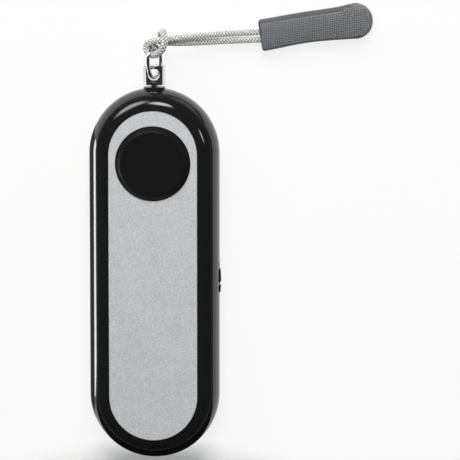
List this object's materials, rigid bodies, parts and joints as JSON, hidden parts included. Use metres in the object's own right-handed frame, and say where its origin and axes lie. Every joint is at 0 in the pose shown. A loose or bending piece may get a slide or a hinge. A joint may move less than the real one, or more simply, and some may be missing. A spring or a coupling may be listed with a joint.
{
  "type": "personal safety alarm",
  "caption": "Hand-held personal alarm: rounded black case, silver face plate, big round push button, side slide knob, and a pull pin with a jump ring, looped cord and rubber pull tab.",
  "frame": {"origin": "middle of the flat back, which the alarm lies on", "axes": "+Z out of the face, +Y along the case towards the pull pin, +X to the right seen from the face"},
  "size_m": [0.0823, 0.1331, 0.0181],
  "materials": {
    "case_black": "glossy black moulded plastic",
    "plate_silver": "satin silver lacquer on a moulded plate",
    "button_black": "satin black moulded plastic",
    "inner_plastic": "matt black",
    "plunger_red": "matt",
    "board_green": "solder resist",
    "brass_sheet": "rolled sheet",
    "coil_copper": "enamelled winding on a ferrite core",
    "can_aluminium": "drawn can",
    "cell_jacket": "plain printed jacket",
    "plated_steel": "nickel plated",
    "pin_chrome": "bright plated",
    "cord_grey": "braided pale grey cord",
    "tab_rubber": "blue-grey moulded rubber with a fine raised grid"
  },
  "bodies": {
    "housing": {"front_shell": "case_black", "rear_shell": "case_black", "face_plate": "plate_silver", "push_switch": "inner_plastic", "circuit_board": "board_green", "sounder_cup": "inner_plastic", "piezo_disc": "brass_sheet", "control_chip": "inner_plastic", "step_up_coil": "coil_copper", "capacitor": "can_aluminium", "slide_switch": "plated_steel", "left_cell": "cell_jacket", "right_cell": "cell_jacket", "battery_terminals": "plated_steel", "bridge_contact": "plated_steel", "battery_springs": "plated_steel", "case_screws": "plated_steel", "pin_socket": "case_black", "pin_contacts": "brass_sheet"},
    "button": {"push_button": "button_black", "switch_plunger": "plunger_red", "button_spring": "plated_steel"},
    "side_switch": {"side_knob": "button_black", "slide_lever": "inner_plastic"},
    "door": {"battery_door": "case_black"},
    "pin": {"pull_pin": "pin_chrome"},
    "pull": {"jump_ring": "pin_chrome", "pull_cord": "cord_grey", "pull_tab": "tab_rubber"}
  },
  "joints": [
    {"name": "button_press", "type": "slide", "parent": "housing", "child": "button", "axis": [0, 0, -1], "range_m": [0, 0.0012], "stiffness_N_per_m": 1500, "deforming": ["button_spring"]},
    {"name": "side_switch_slide", "type": "slide", "parent": "housing", "child": "side_switch", "axis": [0, 1, 0], "range_m": [0, 0.002]},
    {"name": "door_slide", "type": "slide", "parent": "housing", "child": "door", "axis": [0, -1, 0], "range_m": [0, 0.055]},
    {"name": "pin_pull", "type": "slide", "parent": "housing", "child": "pin", "axis": [0, 1, 0], "range_m": [0, 0.014]},
    {"name": "ring_swing", "type": "hinge", "parent": "pin", "child": "pull", "pos_m": [0, 0.0584, 0.0085], "axis": [0, 0, 1], "range_deg": [-25, 25]}
  ]
}
